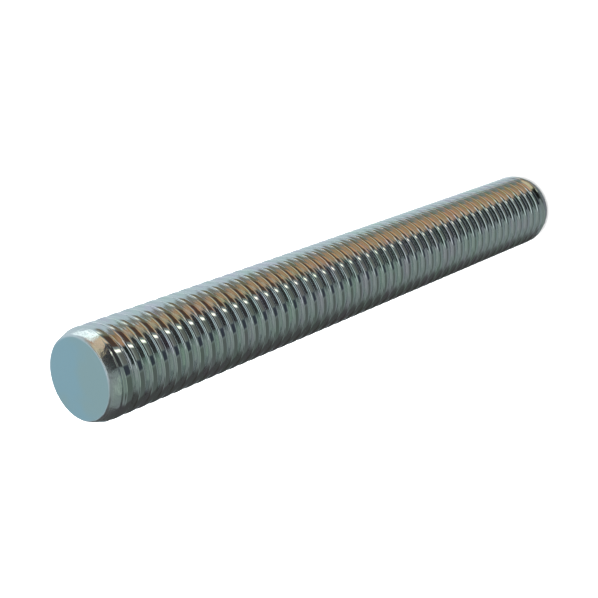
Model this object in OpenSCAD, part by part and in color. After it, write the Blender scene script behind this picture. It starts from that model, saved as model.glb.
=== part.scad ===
// Threaded rod, size M6 x 1, cut 50 mm long: a plain rod with one right-hand rolled thread
// from end to end. It stands on its bottom face, with its axis on Z.

/* [Rod] */
// Length between the two flat end faces
rod_l = 50; // [15:0.5:80]
// Major diameter, over the crests (a little under the nominal 6, as rolled)
major_d = 5.9; // [4:0.05:10]

/* [Thread] */
// Pitch, from one crest to the next
pitch = 1; // [0.8:0.05:1.5]
// Angle between the two flanks of the groove
flank_angle = 60; // [50:1:75]
// Width of the flat on a crest
crest_w = 0.43; // [0.3:0.01:0.5]
// Width of the flat at the root of the groove
root_w = 0.1; // [0.05:0.01:0.2]
// Direction, seen from the top, in which the groove passes the height of the bottom face
start_angle = 175; // [0:1:359]
// Length at each end, from the flat face, that has no groove
lead = 0.35; // [0.1:0.05:1]
// Length behind it over which the groove deepens
run_out = 1.9; // [0.8:0.1:4]

/* [Ends] */
// Width of the chamfer, measured along the radius
chamfer_w = 0.32; // [0.15:0.01:0.6]
// Length of the chamfer, measured along the axis
chamfer_l = 0.9; // [0.4:0.05:2]
// Radius that rounds the edge between the end face and the chamfer
edge_r = 0.15; // [0.1:0.01:0.5]

/* [Hidden] */

crest_r = major_d / 2;
flank_w = (pitch - crest_w - root_w) / 2;
thread_depth = flank_w / tan(flank_angle / 2);

// The thread surface has four strips a turn: root, upper flank, crest and lower flank.
// Each corner is its height above the middle of the root, with 1 where it is in the groove.
corners = [
    [-root_w / 2, 1],
    [root_w / 2, 1],
    [root_w / 2 + flank_w, 0],
    [root_w / 2 + flank_w + crest_w, 0]
];
strips = len(corners);

// The surface is wound past both end faces, by whole turns, and the ends are then cut to shape.
overrun_turns = 2;
overrun = pitch * overrun_turns;
turns = ceil((rod_l + 2 * overrun) / pitch);

// Flat sides a turn: a multiple of four, as many as the facet budget allows.
facet_budget = 11000;
fewest_sides = 12;
sides = max(fewest_sides, 4 * floor(facet_budget / (2 * strips * (turns + 1)) / 4));
steps = sides * turns;

// Share of the full groove depth at a height: none along the lead, all past the run-out
function groove_share(z) = min(1, max(0, (min(z, rod_l - z) - lead) / run_out));

// Height of a corner after a number of steps round the axis
function corner_z(step, corner) =
    pitch * (step / sides - start_angle / 360) - overrun + corners[corner][0];

// Point of a corner after a number of steps
function thread_point(step, corner) =
    let (
        z = corner_z(step, corner),
        r = crest_r - thread_depth * corners[corner][1] * groove_share(z),
        angle = 360 * step / sides
    )
    [r * cos(angle), r * sin(angle), z];

// Index of a point. The corner after the last is the first corner, one turn later.
function at(step, corner) =
    corner == strips ? at(step + sides, 0)
    : step > steps ? strips * (steps + 1) + step - steps - 1
    : strips * step + corner;

// Thread surface as a closed body, longer than the rod at both ends
module thread_body() {
    wound = [
        for (step = [0:steps], corner = [0:strips - 1]) thread_point(step, corner),
        for (step = [steps + 1:steps + sides]) thread_point(step, 0)
    ];
    low_centre = len(wound);
    high_centre = low_centre + 1;
    skin = [
        for (step = [0:steps - 1], corner = [0:strips - 1])
            each [
                [at(step, corner), at(step, corner + 1), at(step + 1, corner + 1)],
                [at(step, corner), at(step + 1, corner + 1), at(step + 1, corner)]
            ]
    ];
    low_cap = [
        for (step = [0:sides - 1]) [low_centre, at(step, 0), at(step + 1, 0)],
        for (corner = [0:strips - 1]) [low_centre, at(0, corner + 1), at(0, corner)]
    ];
    high_cap = [
        for (step = [steps:steps + sides - 1]) [high_centre, at(step + 1, 0), at(step, 0)],
        for (corner = [0:strips - 1]) [high_centre, at(steps, corner), at(steps, corner + 1)]
    ];
    polyhedron(
        points = concat(wound, [[0, 0, corner_z(0, 0)], [0, 0, corner_z(steps + sides, 0)]]),
        faces = concat(skin, low_cap, high_cap),
        convexity = 10
    );
}

// Outline of one end, from the axis out: flat face, rounded edge, chamfer.
// The chamfer line runs on past the crests by a margin, so that it cuts them cleanly.
chamfer_angle = atan(chamfer_l / chamfer_w);
edge_start = crest_r - chamfer_w - edge_r * tan(chamfer_angle / 2);
edge_steps = 6;
cut_margin = 0.2;
end_outline = [
    [0, 0],
    for (i = [0:edge_steps])
        let (turned = chamfer_angle * i / edge_steps)
        [edge_start + edge_r * sin(turned), edge_r * (1 - cos(turned))],
    [crest_r + cut_margin, chamfer_l * (1 + cut_margin / chamfer_w)]
];

// Smooth round body that the rod's two ends are cut to
module end_envelope() {
    upper = [for (i = [len(end_outline) - 1:-1:0]) [end_outline[i][0], rod_l - end_outline[i][1]]];
    rotate_extrude($fn = 96) polygon(concat(end_outline, upper));
}

module threaded_rod() {
    color("lightsteelblue")
        intersection() {
            thread_body();
            end_envelope();
        }
}

threaded_rod();
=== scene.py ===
"""Looks of a zinc-plated threaded rod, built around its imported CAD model.

The rod stands on its lower end, with its axis on Z. Sizes are in metres, and angles in
radians unless a name says degrees.
"""

import logging
import math
from dataclasses import dataclass
from enum import Enum

import bmesh
import bpy
import numpy as np
from mathutils import Matrix, Vector

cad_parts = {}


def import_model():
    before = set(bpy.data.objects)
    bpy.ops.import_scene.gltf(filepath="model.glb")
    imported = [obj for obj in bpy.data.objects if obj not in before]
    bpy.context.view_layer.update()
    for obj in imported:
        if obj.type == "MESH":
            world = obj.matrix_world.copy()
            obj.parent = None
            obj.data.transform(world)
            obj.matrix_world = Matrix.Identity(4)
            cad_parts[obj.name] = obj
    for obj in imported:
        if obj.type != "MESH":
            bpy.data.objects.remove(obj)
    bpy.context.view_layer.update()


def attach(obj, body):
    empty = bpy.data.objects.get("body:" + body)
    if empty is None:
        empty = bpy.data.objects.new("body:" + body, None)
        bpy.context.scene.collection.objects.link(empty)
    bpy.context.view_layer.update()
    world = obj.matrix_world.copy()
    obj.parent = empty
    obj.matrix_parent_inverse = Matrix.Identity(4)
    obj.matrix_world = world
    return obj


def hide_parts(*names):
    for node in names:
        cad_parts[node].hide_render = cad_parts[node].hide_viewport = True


MM = 0.001
MICRON = 0.000001
FULL_TURN = 2 * math.pi
LOG = logging.getLogger("threaded_rod")

# Places of the Mix node's colour sockets, which share their names with its other sockets.
MIX_FACTOR, MIX_FIRST, MIX_SECOND, MIX_RESULT = 0, 6, 7, 2

Colour = tuple[float, float, float]
Range = tuple[float, float]


class SurfaceShare(Enum):
    """Names of the values that the rod's mesh carries for its finish, each from 0 to 1."""

    DEPTH = "groove_depth"
    END = "end_face"


@dataclass(frozen=True)
class Pattern:
    """A noise pattern in the metal.

    It has a count of grains to a millimetre along X, Y and Z, a number of octaves of finer
    noise, and the height of its relief in metres, where it has one.
    """

    per_mm: tuple[float, float, float]
    detail: float
    rise: float = 0.0


def link_object(name: str, data: bpy.types.ID) -> bpy.types.Object:
    """Makes an object at the origin and links it to the scene.

    Args:
        name: the object's name.
        data: the mesh, light or camera that it holds.

    Returns:
        The new object.
    """
    made = bpy.data.objects.new(name, data)
    bpy.context.scene.collection.objects.link(made)
    return made


class Nodes:
    """Short forms for making and joining shader nodes in one tree."""

    def __init__(self, tree: bpy.types.NodeTree) -> None:
        """Clears the tree and keeps it."""
        self.tree = tree
        tree.nodes.clear()

    def add(self, kind: str, **settings: object) -> bpy.types.Node:
        """Adds a node.

        Args:
            kind: Blender's name for the node type.
            settings: properties to set on it.

        Returns:
            The new node.
        """
        made = self.tree.nodes.new(kind)
        for key, value in settings.items():
            setattr(made, key, value)
        return made

    def join(self, source: bpy.types.NodeSocket, target: bpy.types.NodeSocket) -> None:
        """Joins an output to an input."""
        self.tree.links.new(source, target)

    def feed(self, term: object, socket: bpy.types.NodeSocket) -> None:
        """Joins an output to an input, or sets the input to a plain number or colour."""
        if isinstance(term, bpy.types.NodeSocket):
            self.join(term, socket)
        elif isinstance(term, tuple):
            socket.default_value = (*term, 1.0)[:len(socket.default_value)]
        else:
            socket.default_value = float(term)

    def math(self, operation: str, *terms: object) -> bpy.types.NodeSocket:
        """Adds a Math node.

        Args:
            operation: the operation's name, such as ADD.
            terms: each a number or an output socket.

        Returns:
            The node's output.
        """
        made = self.add("ShaderNodeMath", operation=operation)
        for term, socket in zip(terms, made.inputs):
            self.feed(term, socket)
        return made.outputs[0]

    def ramp(self, factor: bpy.types.NodeSocket, low: float, high: float,
             at_low: float, at_high: float) -> bpy.types.NodeSocket:
        """Maps a factor smoothly from one range to another.

        Args:
            factor: the socket to read.
            low: value of the factor where the result is at_low.
            high: value of the factor where the result is at_high.
            at_low: result at low and below.
            at_high: result at high and above.

        Returns:
            The mapped value.
        """
        made = self.add("ShaderNodeMapRange", interpolation_type="SMOOTHSTEP")
        for term, name in ((factor, "Value"), (low, "From Min"), (high, "From Max"),
                           (at_low, "To Min"), (at_high, "To Max")):
            self.feed(term, made.inputs[name])
        return made.outputs["Result"]

    def mix(self, factor: object, first: object, second: object) -> bpy.types.NodeSocket:
        """Mixes two colours, each a tuple or an output, by a factor."""
        made = self.add("ShaderNodeMix", data_type="RGBA")
        for term, place in ((factor, MIX_FACTOR), (first, MIX_FIRST), (second, MIX_SECOND)):
            self.feed(term, made.inputs[place])
        return made.outputs[MIX_RESULT]

    def surface(self, share: SurfaceShare) -> bpy.types.NodeSocket:
        """Reads one of the values that the mesh carries."""
        return self.add("ShaderNodeAttribute", attribute_name=share.value).outputs["Fac"]

    def noise(self, place: bpy.types.NodeSocket, pattern: Pattern) -> bpy.types.NodeSocket:
        """Adds a noise pattern on a place in metres.

        Args:
            place: the place on the object.
            pattern: how fine the noise is.

        Returns:
            The noise, from 0 to 1.
        """
        spread = self.add("ShaderNodeMapping")
        self.join(place, spread.inputs["Vector"])
        spread.inputs["Scale"].default_value = [count / MM for count in pattern.per_mm]
        made = self.add("ShaderNodeTexNoise")
        self.join(spread.outputs["Vector"], made.inputs["Vector"])
        made.inputs["Scale"].default_value = 1.0
        made.inputs["Detail"].default_value = pattern.detail
        return made.outputs["Fac"]

    def bump(self, height: bpy.types.NodeSocket, rise: float,
             under: bpy.types.NodeSocket | None = None) -> bpy.types.NodeSocket:
        """Adds fine relief.

        Args:
            height: the pattern, from 0 to 1.
            rise: how high a value of 1 stands, in metres.
            under: the relief that this one lies on, if any.

        Returns:
            The bumped normal.
        """
        made = self.add("ShaderNodeBump")
        made.inputs["Distance"].default_value = rise
        self.join(height, made.inputs["Height"])
        if under is not None:
            self.join(under, made.inputs["Normal"])
        return made.outputs["Normal"]


@dataclass(frozen=True)
class ZincPlate:
    """Bright zinc plating over a rolled thread, with a pale blue passivation.

    The film shows faint green and violet, and the rolled faces are a little wavy and carry
    fine marks that run round the rod. The roots are rougher than the crests, and their colour is
    darkened as painted shade in the grooves. The chamfers are silvery with small burrs, and the
    end faces are satin, bluish and clouded.

    A range gives the values of a noise or a surface share between which a colour comes in,
    except for violet, which fades out over its range. Root shade cover is the most of the
    painted root shade that a root takes on.
    """

    name: str = "zinc_plate"
    tint: Colour = (0.70, 0.745, 0.75)
    green_film: Colour = (0.66, 0.76, 0.71)
    violet_film: Colour = (0.73, 0.71, 0.77)
    # Painted shade: a darker colour that the thread's roots take on, deep in the grooves.
    painted_root_shade: Colour = (0.60, 0.63, 0.63)
    end_tint: Colour = (0.40, 0.575, 0.64)
    end_tint_warm: Colour = (0.43, 0.565, 0.575)
    chamfer_tint: Colour = (0.80, 0.85, 0.88)
    polish: float = 0.10
    polish_spread: float = 0.06
    root_dulling: float = 0.03
    end_roughness: float = 0.40
    film: Pattern = Pattern((0.5, 0.5, 0.8), 2.0)
    cloud: Pattern = Pattern((0.32, 0.32, 0.32), 2.0)
    waves: Pattern = Pattern((0.7, 0.7, 1.3), 1.0, 5 * MICRON)
    burrs: Pattern = Pattern((2.4, 2.4, 2.4), 3.0, 170 * MICRON)
    marks: Pattern = Pattern((0.4, 0.4, 16.0), 2.0, 0.5 * MICRON)
    grain: Pattern = Pattern((9.0, 9.0, 9.0), 2.0, 0.3 * MICRON)
    green_range: Range = (0.50, 0.68)
    violet_range: Range = (0.34, 0.48)
    root_shade_range: Range = (0.4, 1.0)
    root_shade_cover: float = 0.6
    warm_range: Range = (0.38, 0.60)
    face_range: Range = (0.74, 1.0)

    def material(self) -> bpy.types.Material:
        """Makes the plated finish.

        Returns:
            The material. Burrs are strongest halfway down the chamfer: their noise is
            multiplied by the end share times what is left of it.
        """
        made = bpy.data.materials.new(self.name)
        made.use_nodes = True
        nodes = Nodes(made.node_tree)
        place = nodes.add("ShaderNodeTexCoord").outputs["Object"]
        depth = nodes.surface(SurfaceShare.DEPTH)
        end = nodes.surface(SurfaceShare.END)
        film = nodes.noise(place, self.film)
        cloud = nodes.noise(place, self.cloud)
        grain = nodes.noise(place, self.grain)
        marks = nodes.noise(place, self.marks)
        waves = nodes.noise(place, self.waves)
        chamfered = nodes.math("MULTIPLY", end, nodes.math("SUBTRACT", 1, end))
        burrs = nodes.math("MULTIPLY", nodes.noise(place, self.burrs), chamfered)

        shader = nodes.add("ShaderNodeBsdfPrincipled")
        shader.inputs["Metallic"].default_value = 1.0
        nodes.join(self._colour(nodes, film, cloud, depth, end), shader.inputs["Base Color"])
        nodes.join(self._roughness(nodes, grain, marks, depth, end), shader.inputs["Roughness"])
        relief = nodes.bump(waves, self.waves.rise)
        relief = nodes.bump(burrs, self.burrs.rise, relief)
        relief = nodes.bump(marks, self.marks.rise, relief)
        relief = nodes.bump(grain, self.grain.rise, relief)
        nodes.join(relief, shader.inputs["Normal"])
        output = nodes.add("ShaderNodeOutputMaterial")
        nodes.join(shader.outputs["BSDF"], output.inputs["Surface"])
        return made

    def _colour(self, nodes: Nodes, film: bpy.types.NodeSocket, cloud: bpy.types.NodeSocket,
                depth: bpy.types.NodeSocket, end: bpy.types.NodeSocket) -> bpy.types.NodeSocket:
        """Colours the plating: film tints, painted shade in the roots, silvery chamfers, bluish
        end faces.
        """
        green = nodes.ramp(film, *self.green_range, 0.0, 1.0)
        violet = nodes.ramp(film, *self.violet_range, 1.0, 0.0)
        # Painted shade: the colour darkens towards the bottom of each groove.
        root_shaded = nodes.ramp(depth, *self.root_shade_range, 0.0, self.root_shade_cover)
        warm = nodes.ramp(cloud, *self.warm_range, 0.0, 1.0)
        faced = nodes.ramp(end, *self.face_range, 0.0, 1.0)
        plated = nodes.mix(violet, nodes.mix(green, self.tint, self.green_film), self.violet_film)
        rolled = nodes.mix(root_shaded, plated, self.painted_root_shade)
        face = nodes.mix(warm, self.end_tint, self.end_tint_warm)
        return nodes.mix(end, rolled, nodes.mix(faced, self.chamfer_tint, face))

    def _roughness(self, nodes: Nodes, grain: bpy.types.NodeSocket, marks: bpy.types.NodeSocket,
                   depth: bpy.types.NodeSocket, end: bpy.types.NodeSocket) -> bpy.types.NodeSocket:
        """Makes the polish uneven: grain and rolling marks, duller roots, satin end faces."""
        uneven = nodes.math("MULTIPLY", nodes.math("ADD", grain, marks), self.polish_spread / 2)
        rolled = nodes.math("ADD", uneven, self.polish - self.polish_spread / 2)
        dulled = nodes.math("ADD", rolled, nodes.math("MULTIPLY", depth, self.root_dulling))
        satin = nodes.math("SUBTRACT", self.end_roughness, dulled)
        return nodes.math("ADD", dulled, nodes.math("MULTIPLY", satin, end))


@dataclass
class ThreadedRod:
    """One steel rod with a right-hand thread from end to end and a rounded chamfer at each end.

    The surface is a grid: one direction winds round the rod with the thread, and the other
    climbs through one pitch of the thread form. Both ends of the grid run on over the
    chamfer and a little way across the flat end face.

    Edge rows are the grid's rows at a root's edge and at a crest's corner. They are counted
    in corner roundings from that corner, away from the middle of the root.
    """

    length: float = 50 * MM
    crest_radius: float = 2.95 * MM
    pitch: float = 1.0 * MM
    flank_angle: float = math.radians(60)
    crest_width: float = 0.50 * MM
    crest_crown: float = 0.015 * MM
    root_width: float = 0.06 * MM
    corner_rounding: float = 0.045 * MM
    start_angle: float = math.radians(175)
    lead: float = 0.35 * MM
    run_out: float = 1.9 * MM
    chamfer_width: float = 0.32 * MM
    chamfer_length: float = 0.9 * MM
    edge_radius: float = 0.15 * MM
    face_margin: float = 0.3 * MM
    overrun_turns: int = 3
    sides: int = 72
    face_rings: int = 4
    root_edge_rows: tuple[float, ...] = (0.5, 1.0, 1.4)
    crest_edge_rows: tuple[float, ...] = (-1.4, -1.0, -0.35, 0.35, 1.0)
    rounding_samples: int = 31
    weld: float = 0.0001 * MM

    @property
    def flank_width(self) -> float:
        """Length of one flank along the axis."""
        return (self.pitch - self.crest_width - self.root_width) / 2

    @property
    def full_depth(self) -> float:
        """Depth of the groove where it is complete."""
        return self.flank_width / math.tan(self.flank_angle / 2)

    @property
    def chamfer_turn(self) -> float:
        """Angle between the end face and the chamfer."""
        return math.atan2(self.chamfer_length, self.chamfer_width)

    @property
    def face_radius(self) -> float:
        """Radius of the flat part of an end face."""
        edge_width = self.edge_radius * math.tan(self.chamfer_turn / 2)
        return self.crest_radius - self.chamfer_width - edge_width

    def form_rows(self) -> np.ndarray:
        """Places of the grid's rows through one pitch, from the middle of a root.

        Returns:
            The rows' heights. Each corner has rows across its rounding and one just beyond
            it on the flank, so that the flank is shaded flat. The flank has one in its
            middle, and the crown has one on each side and one on top.
        """
        crest_corner = self.root_width / 2 + self.flank_width
        root_edge = self.root_width / 2 + np.array(self.root_edge_rows) * self.corner_rounding
        crest_edge = crest_corner + np.array(self.crest_edge_rows) * self.corner_rounding
        flank_middle = (root_edge[-1] + crest_edge[0]) / 2
        crown_side = crest_corner + self.crest_width / 4
        half = np.concatenate([root_edge, [flank_middle], crest_edge, [crown_side]])
        return np.concatenate([[0.0], half, [self.pitch / 2], self.pitch - half[::-1]])

    def form_depth(self, phase: np.ndarray) -> np.ndarray:
        """Depth of the thread form below the top of the crest.

        Args:
            phase: distance along the axis from the middle of a root.

        Returns:
            The depth. The form is a trapezoid with a flat root, two straight flanks and a
            crest, and each corner is softened by taking the mean over a short window. The
            crest is crowned: it falls with the square of the distance from its middle, by
            the crown's height at its edges, and the rest lies that much deeper.
        """
        window = np.linspace(-1, 1, self.rounding_samples) * self.corner_rounding
        share = np.zeros_like(phase)
        for shift in window:
            from_root = np.abs((phase + shift + self.pitch / 2) % self.pitch - self.pitch / 2)
            share += np.clip(1 - (from_root - self.root_width / 2) / self.flank_width, 0.0, 1.0)
        from_crest = np.abs(phase % self.pitch - self.pitch / 2)
        fall = np.clip(2 * from_crest / self.crest_width, 0.0, 1.0) ** 2
        return self.full_depth * share / len(window) + self.crest_crown * fall

    def groove_share(self, height: np.ndarray) -> np.ndarray:
        """Share of the full groove depth at a height: none on the lead, then rising evenly."""
        inside = np.minimum(height, self.length - height) - self.lead
        return np.clip(inside / self.run_out, 0.0, 1.0)

    def end_outline(self, raw: np.ndarray) -> tuple[np.ndarray, np.ndarray]:
        """Outline of an end, followed down the chamfer, round its edge and in over the face.

        Args:
            raw: height above the end face if the rod had no end. Below the height where the
                rounded edge starts, it counts the distance along the outline instead.

        Returns:
            The outline's radius and its height above the end face.
        """
        turn = self.chamfer_turn
        edge_height = self.edge_radius * (1 - math.cos(turn))
        past = np.clip(edge_height - raw, 0.0, None)
        swept = np.clip(past / self.edge_radius, 0.0, turn)
        on_face = np.clip(past - self.edge_radius * turn, 0.0, self.face_margin)
        cone = self.crest_radius - self.chamfer_width * (1 - raw / self.chamfer_length)
        arc = self.face_radius + self.edge_radius * np.sin(turn - swept) - on_face
        radius = np.where(past > 0, arc, cone)
        height = np.where(past > 0, self.edge_radius * (1 - np.cos(turn - swept)), raw)
        return radius, height

    def wound_points(self) -> tuple[np.ndarray, np.ndarray, np.ndarray, int]:
        """Points of the wound grid.

        Each point lies at an angle round the axis. Its height is the climb of the winding
        there plus its row's place in the pitch, bent over the ends by their outline. Its
        radius is the crest's less the depth of the form times the groove's share, or the
        radius of the end's outline where that is less.

        Returns:
            The points, the share of groove depth at each, and how far in each lies, from 0
            at the crests to 1 on the flat end face, all with one row for each step round
            the axis, and the number of steps that have a full strip above them.
        """
        turns = math.ceil(self.length / self.pitch) + 2 * self.overrun_turns
        step = np.arange(self.sides * (turns + 1) + 1)
        angle = (FULL_TURN * step / self.sides)[:, None]
        overrun = self.pitch * self.overrun_turns
        climb = self.pitch * (angle - self.start_angle) / FULL_TURN - overrun
        raw = climb + self.form_rows()[None, :]
        low_radius, low_height = self.end_outline(raw)
        high_radius, high_height = self.end_outline(self.length - raw)
        in_lower_half = raw < self.length / 2
        envelope = np.where(in_lower_half, low_radius, high_radius)
        height = np.where(in_lower_half, low_height, self.length - high_height)
        fall = self.form_depth(height - climb) * self.groove_share(height)
        radius = np.minimum(self.crest_radius - fall, envelope)
        inset = (self.crest_radius - envelope) / (self.crest_radius - self.face_radius)
        points = np.stack([radius * np.cos(angle), radius * np.sin(angle), height], -1)
        return points, fall / self.full_depth, np.clip(inset, 0.0, 1.0), self.sides * turns

    def wound_quads(self, strips: int, rows: int) -> np.ndarray:
        """Quads of the wound grid. The row above the last is the first row, one turn later.

        Args:
            strips: number of steps that have a full strip above them.
            rows: number of rows in one pitch.

        Returns:
            Four point numbers for each quad.
        """
        strip = np.arange(strips)[:, None]
        row = np.arange(rows)[None, :]
        low = strip * rows + row
        above = np.where(row + 1 < rows, low + 1, (strip + self.sides) * rows)
        return np.stack([low, low + rows, above + rows, above], -1).reshape(-1, 4)

    def face_disc(self, height: float) -> tuple[np.ndarray, list[list[int]]]:
        """Middle of one flat end face: even rings of points round a centre point.

        Args:
            height: the face's height.

        Returns:
            The points, and the point numbers of each face.
        """
        rings, sides = self.face_rings, self.sides
        angle = FULL_TURN * np.arange(sides) / sides
        radius = (self.face_radius - self.face_margin) * (1 - np.arange(rings) / rings)
        flat = np.full((rings, sides), height)
        x, y = np.outer(radius, np.cos(angle)), np.outer(radius, np.sin(angle))
        points = np.concatenate([np.stack([x, y, flat], -1).reshape(-1, 3), [[0.0, 0.0, height]]])
        start, after = np.arange(sides), (np.arange(sides) + 1) % sides
        faces = []
        for ring in range(rings - 1):
            outer, inner = ring * sides, (ring + 1) * sides
            corners = [outer + start, outer + after, inner + after, inner + start]
            faces += np.stack(corners, -1).tolist()
        last, centre = (rings - 1) * sides, np.full(sides, rings * sides)
        faces += np.stack([last + start, last + after, centre], -1).tolist()
        return points, faces

    def build(self, finish: ZincPlate) -> bpy.types.Object:
        """Builds the rod as one closed mesh.

        Args:
            finish: the plating it wears.

        Returns:
            The rod's object.
        """
        points, depth, end, strips = self.wound_points()
        faces = self.wound_quads(strips, points.shape[1]).tolist()
        all_points, all_depth, all_end = [points.reshape(-1, 3)], [depth.ravel()], [end.ravel()]
        for height in (0.0, self.length):
            disc, disc_faces = self.face_disc(height)
            first = sum(len(group) for group in all_points)
            faces += [[first + corner for corner in face] for face in disc_faces]
            all_points.append(disc)
            all_depth.append(np.zeros(len(disc)))
            all_end.append(np.ones(len(disc)))
        mesh = bpy.data.meshes.new("plated_rod")
        mesh.from_pydata(np.concatenate(all_points).tolist(), [], faces)
        for share, values in ((SurfaceShare.DEPTH, all_depth), (SurfaceShare.END, all_end)):
            layer = mesh.attributes.new(share.value, "FLOAT", "POINT")
            layer.data.foreach_set("value", np.concatenate(values).astype(np.float32))
        self.close(mesh)
        mesh.materials.append(finish.material())
        return link_object("plated_rod", mesh)

    def close(self, mesh: bpy.types.Mesh) -> None:
        """Welds the grid's seams and discs, turns the faces out and shades the flat faces flat."""
        work = bmesh.new()
        work.from_mesh(mesh)
        bmesh.ops.remove_doubles(work, verts=work.verts, dist=self.weld)
        bmesh.ops.delete(work, geom=[v for v in work.verts if not v.link_faces], context="VERTS")
        bmesh.ops.recalc_face_normals(work, faces=work.faces)
        for face in work.faces:
            heights = [corner.co.z for corner in face.verts]
            face.smooth = min(heights) > self.weld and max(heights) < self.length - self.weld
        open_edges = sum(not edge.is_manifold for edge in work.edges)
        LOG.info("rod surface: %d faces, %d open edges", len(work.faces), open_edges)
        work.to_mesh(mesh)
        work.free()


@dataclass(frozen=True)
class PhotoCamera:
    """The camera that sees the rod as the reference picture does.

    Its focal length, the point where the rod's axis vanishes, and the pixel and the depth
    of the middle of the near end face come from a fit to the rod's outlines and threads in
    that picture. The picture is square, and the sensor's side is in millimetres.
    """

    picture_px: float = 598
    focal_px: float = 1263
    axis_vanishes_px: tuple[float, float] = (1412.2, -137.6)
    near_end_px: tuple[float, float] = (78.7, 379.2)
    near_end_depth: float = 73.36 * MM
    sensor: float = 36

    def ray(self, pixel: tuple[float, float]) -> Vector:
        """Direction to a pixel, in camera axes: right, down, forward."""
        middle = self.picture_px / 2
        right, down = ((count - middle) / self.focal_px for count in pixel)
        return Vector((right, down, 1.0))

    def place(self, rod: ThreadedRod) -> bpy.types.Object:
        """Places the camera so that the rod's axis and near end fall on their pixels.

        Args:
            rod: the rod, whose upper end is the near one.

        Returns:
            The camera's object.
        """
        down = self.ray(self.axis_vanishes_px).normalized()
        near = self.ray(self.near_end_px) * self.near_end_depth
        away = (near - near.dot(down) * down).normalized()
        side = away.cross(-down)
        to_world = Matrix((side, away, -down))
        place = Vector((0, 0, rod.length)) - to_world @ near
        turn = Matrix((to_world.col[0], -to_world.col[1], -to_world.col[2])).transposed()
        data = bpy.data.cameras.new("camera")
        data.sensor_width = self.sensor
        data.lens = self.sensor * self.focal_px / self.picture_px
        data.clip_start = 1 * MM
        made = link_object("camera", data)
        made.matrix_world = Matrix.Translation(place) @ turn.to_4x4()
        bpy.context.scene.camera = made
        return made


@dataclass(frozen=True)
class Card:
    """A soft-edged card or lamp round the rod, far off, that its metal reflects.

    Bearings are in degrees round from the camera's side, towards -X, and heights are in
    degrees above the horizon. Half sizes run from the middle to the middle of the soft edge.
    """

    name: str
    bearing: float
    half_width: float
    height: float
    half_height: float
    soft: float
    colour: Colour

    def share(self, nodes: Nodes, bearing: bpy.types.NodeSocket,
              height: bpy.types.NodeSocket) -> bpy.types.NodeSocket:
        """How much of the card lies in a direction.

        Args:
            nodes: the tree to add to.
            bearing: the direction's bearing, in radians.
            height: the direction's height, in radians.

        Returns:
            The share, from 0 to 1: a smooth step in the angle from the card's middle, for
            each of the two angles, and their product.
        """
        turned = nodes.math("SUBTRACT", bearing, math.radians(self.bearing))
        off_bearing = nodes.math("ARCCOSINE", nodes.math("COSINE", turned))
        raised = nodes.math("SUBTRACT", height, math.radians(self.height))
        off_height = nodes.math("ABSOLUTE", raised)
        steps = []
        for off, half in ((off_bearing, self.half_width), (off_height, self.half_height)):
            inner, outer = math.radians(half - self.soft / 2), math.radians(half + self.soft / 2)
            steps.append(nodes.ramp(off, inner, outer, 1.0, 0.0))
        return nodes.math("MULTIPLY", *steps)


# The room as the rod reflects it: a card lies over the ones before it. These values aren't free
# choices. Most of them were fitted to the reference picture's reflections by another script,
# then rounded, and in part changed by hand after comparing renders. The rest were set one by
# one.
CARDS = (
    Card("window", -152, 69, 1, 67, 12, (0.55, 0.655, 0.70)),
    Card("dark_end", 129, 31, -10, 55, 14, (0.068, 0.071, 0.069)),
    Card("sky", 0, 180, 86, 15, 6, (0.70, 0.84, 0.91)),
    Card("dark_floor", 0, 180, -82, 22, 6, (0.19, 0.21, 0.22)),
    Card("far_floor", 60, 36, -65, 8, 6, (0.23, 0.285, 0.29)),
    Card("side_low", 69, 33, -37, 14, 6, (0.115, 0.135, 0.125)),
    Card("dark_side", 98, 28, 16, 11, 8, (0.04, 0.035, 0.03)),
    Card("green_side", 44, 22, -14, 9, 8, (0.36, 0.42, 0.38)),
    Card("grey_high", 58, 21, 60, 14, 8, (0.29, 0.33, 0.32)),
    Card("white_high", -6, 38, 40, 8, 8, (1.0, 1.12, 1.14)),
    Card("olive_high", -95, 15, 49, 9, 6, (0.24, 0.24, 0.20)),
    Card("orange_high", -66, 28, 59, 7, 5, (0.46, 0.28, 0.155)),
    Card("black_high", -1, 36, 64, 6, 4, (0.006, 0.01, 0.01)),
    Card("blue_high", -57, 20, 68, 3, 4, (0.01, 0.08, 0.11)),
    Card("orange_middle", -48, 22, 16, 16, 6, (0.75, 0.62, 0.40)),
    Card("gold_high", -60, 14, 43, 9, 6, (0.32, 0.20, 0.08)),
    Card("red_middle", -74, 13, 5, 6, 5, (0.44, 0.14, 0.04)),
    Card("peach", -58, 15, -8, 5, 4, (0.85, 0.62, 0.42)),
    Card("pale_lamp", -99, 24, -10, 5, 6, (1.5, 1.62, 1.58)),
    Card("black_front", -18, 17, 22, 11, 6, (0.0, 0.0, 0.0)),
    Card("dark_join", -12, 23, 4, 8, 5, (0.03, 0.035, 0.035)),
    Card("dark_middle", -18, 28, -14, 12, 5, (0.045, 0.04, 0.045)),
    Card("maroon_low", -58, 19, -40, 11, 5, (0.09, 0.055, 0.04)),
    Card("window_frame", -94, 9, 12, 12, 7, (0.33, 0.38, 0.41)),
    Card("olive_low", -92, 18, -45, 8.5, 6, (0.20, 0.17, 0.11)),
    Card("green_low", -97, 13, -59, 7, 6, (0.155, 0.215, 0.17)),
    Card("pale_spot", -88, 5, -32, 4, 3, (1.3, 1.3, 1.1)),
    Card("gold_low", -68, 12, -54, 7, 5, (0.62, 0.355, 0.175)),
    Card("pale_gold_low", -50, 14, -58, 5, 5, (0.74, 0.47, 0.28)),
    Card("charcoal_low", -15, 27, -60, 7, 4, (0.008, 0.012, 0.02)),
    Card("grey_front", -8, 15, -44, 9, 5, (0.145, 0.15, 0.135)),
    Card("grey_glow", -8, 16, -31, 4, 4, (0.35, 0.39, 0.36)),
    Card("navy_low", 21, 12, -40, 12, 4, (0.042, 0.05, 0.065)),
    Card("lamp", -28, 3.5, -34, 11, 3, (1.9, 1.85, 1.55)),
)


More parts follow.
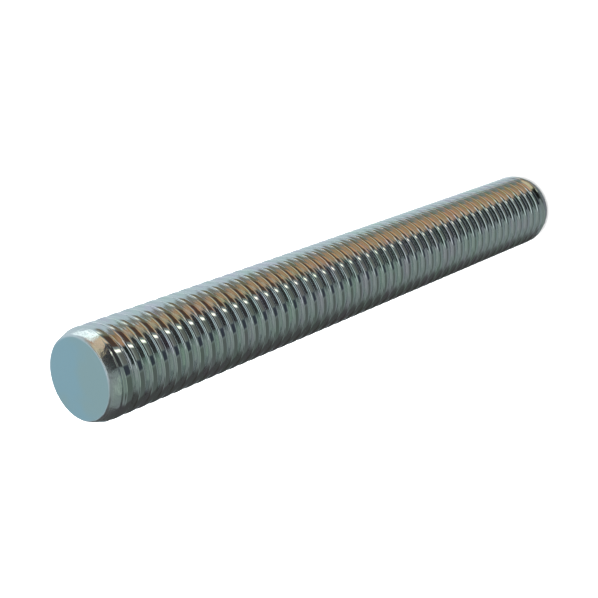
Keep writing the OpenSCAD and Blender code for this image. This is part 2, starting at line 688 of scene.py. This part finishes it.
@dataclass
class Studio:
    """Pale floor, soft overhead light, and cards that the bright metal reflects."""

    floor_half: float = 2.0
    floor_colour: Colour = (0.9, 0.9, 0.9)
    floor_roughness: float = 0.9
    paper: Colour = (1.0, 1.0, 1.0)
    walls: Colour = (0.215, 0.255, 0.245)
    overhead: float = 5.0
    overhead_spread: float = math.radians(60)
    cards: tuple[Card, ...] = CARDS

    def floor(self) -> bpy.types.Object:
        """Lays the pale floor, which the metal doesn't reflect."""
        half = self.floor_half
        mesh = bpy.data.meshes.new("floor")
        mesh.from_pydata([(-half, -half, 0), (half, -half, 0), (half, half, 0), (-half, half, 0)],
                         [], [(0, 1, 2, 3)])
        made = link_object("floor", mesh)
        paint = bpy.data.materials.new("floor_paper")
        paint.use_nodes = True
        nodes = Nodes(paint.node_tree)
        shader = nodes.add("ShaderNodeBsdfPrincipled")
        shader.inputs["Base Color"].default_value = (*self.floor_colour, 1.0)
        shader.inputs["Roughness"].default_value = self.floor_roughness
        output = nodes.add("ShaderNodeOutputMaterial")
        nodes.join(shader.outputs["BSDF"], output.inputs["Surface"])
        mesh.materials.append(paint)
        made.visible_glossy = False
        return made

    def light(self) -> bpy.types.Object:
        """Hangs the wide overhead light, which whitens the floor. The metal doesn't reflect it."""
        data = bpy.data.lights.new("overhead", "SUN")
        data.energy = self.overhead
        data.angle = self.overhead_spread
        made = link_object("overhead", data)
        made.visible_glossy = False
        return made

    def surroundings(self) -> None:
        """Sets the cards for the metal's reflections, over plain walls. All else sees paper.

        A direction's bearing is the arc tangent of minus its X over minus its Y, and its
        height is the arc sine of its Z.
        """
        world = bpy.data.worlds.new("studio")
        bpy.context.scene.world = world
        world.use_nodes = True
        nodes = Nodes(world.node_tree)
        direction = nodes.add("ShaderNodeSeparateXYZ")
        nodes.join(nodes.add("ShaderNodeTexCoord").outputs["Generated"], direction.inputs[0])
        x, y, z = direction.outputs
        minus_x, minus_y = nodes.math("MULTIPLY", x, -1), nodes.math("MULTIPLY", y, -1)
        bearing = nodes.math("ARCTAN2", minus_x, minus_y)
        height = nodes.math("ARCSINE", z)
        seen = self.walls
        for card in self.cards:
            seen = nodes.mix(card.share(nodes, bearing, height), seen, card.colour)
        reflected = nodes.add("ShaderNodeLightPath").outputs["Is Glossy Ray"]
        background = nodes.add("ShaderNodeBackground")
        nodes.join(nodes.mix(reflected, self.paper, seen), background.inputs["Color"])
        output = nodes.add("ShaderNodeOutputWorld")
        nodes.join(background.outputs[0], output.inputs["Surface"])


def main() -> None:
    """Builds the rod, the studio and the camera."""
    logging.basicConfig(level=logging.INFO, format="%(message)s")
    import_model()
    rod = ThreadedRod()
    piece = rod.build(ZincPlate())
    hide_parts("threaded_rod")
    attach(piece, "root")
    LOG.info("%s: %d faces", piece.name, len(piece.data.polygons))
    studio = Studio()
    studio.floor()
    studio.light()
    studio.surroundings()
    PhotoCamera().place(rod)
    bpy.context.scene.view_settings.view_transform = "Standard"


if __name__ == "__main__":
    main()
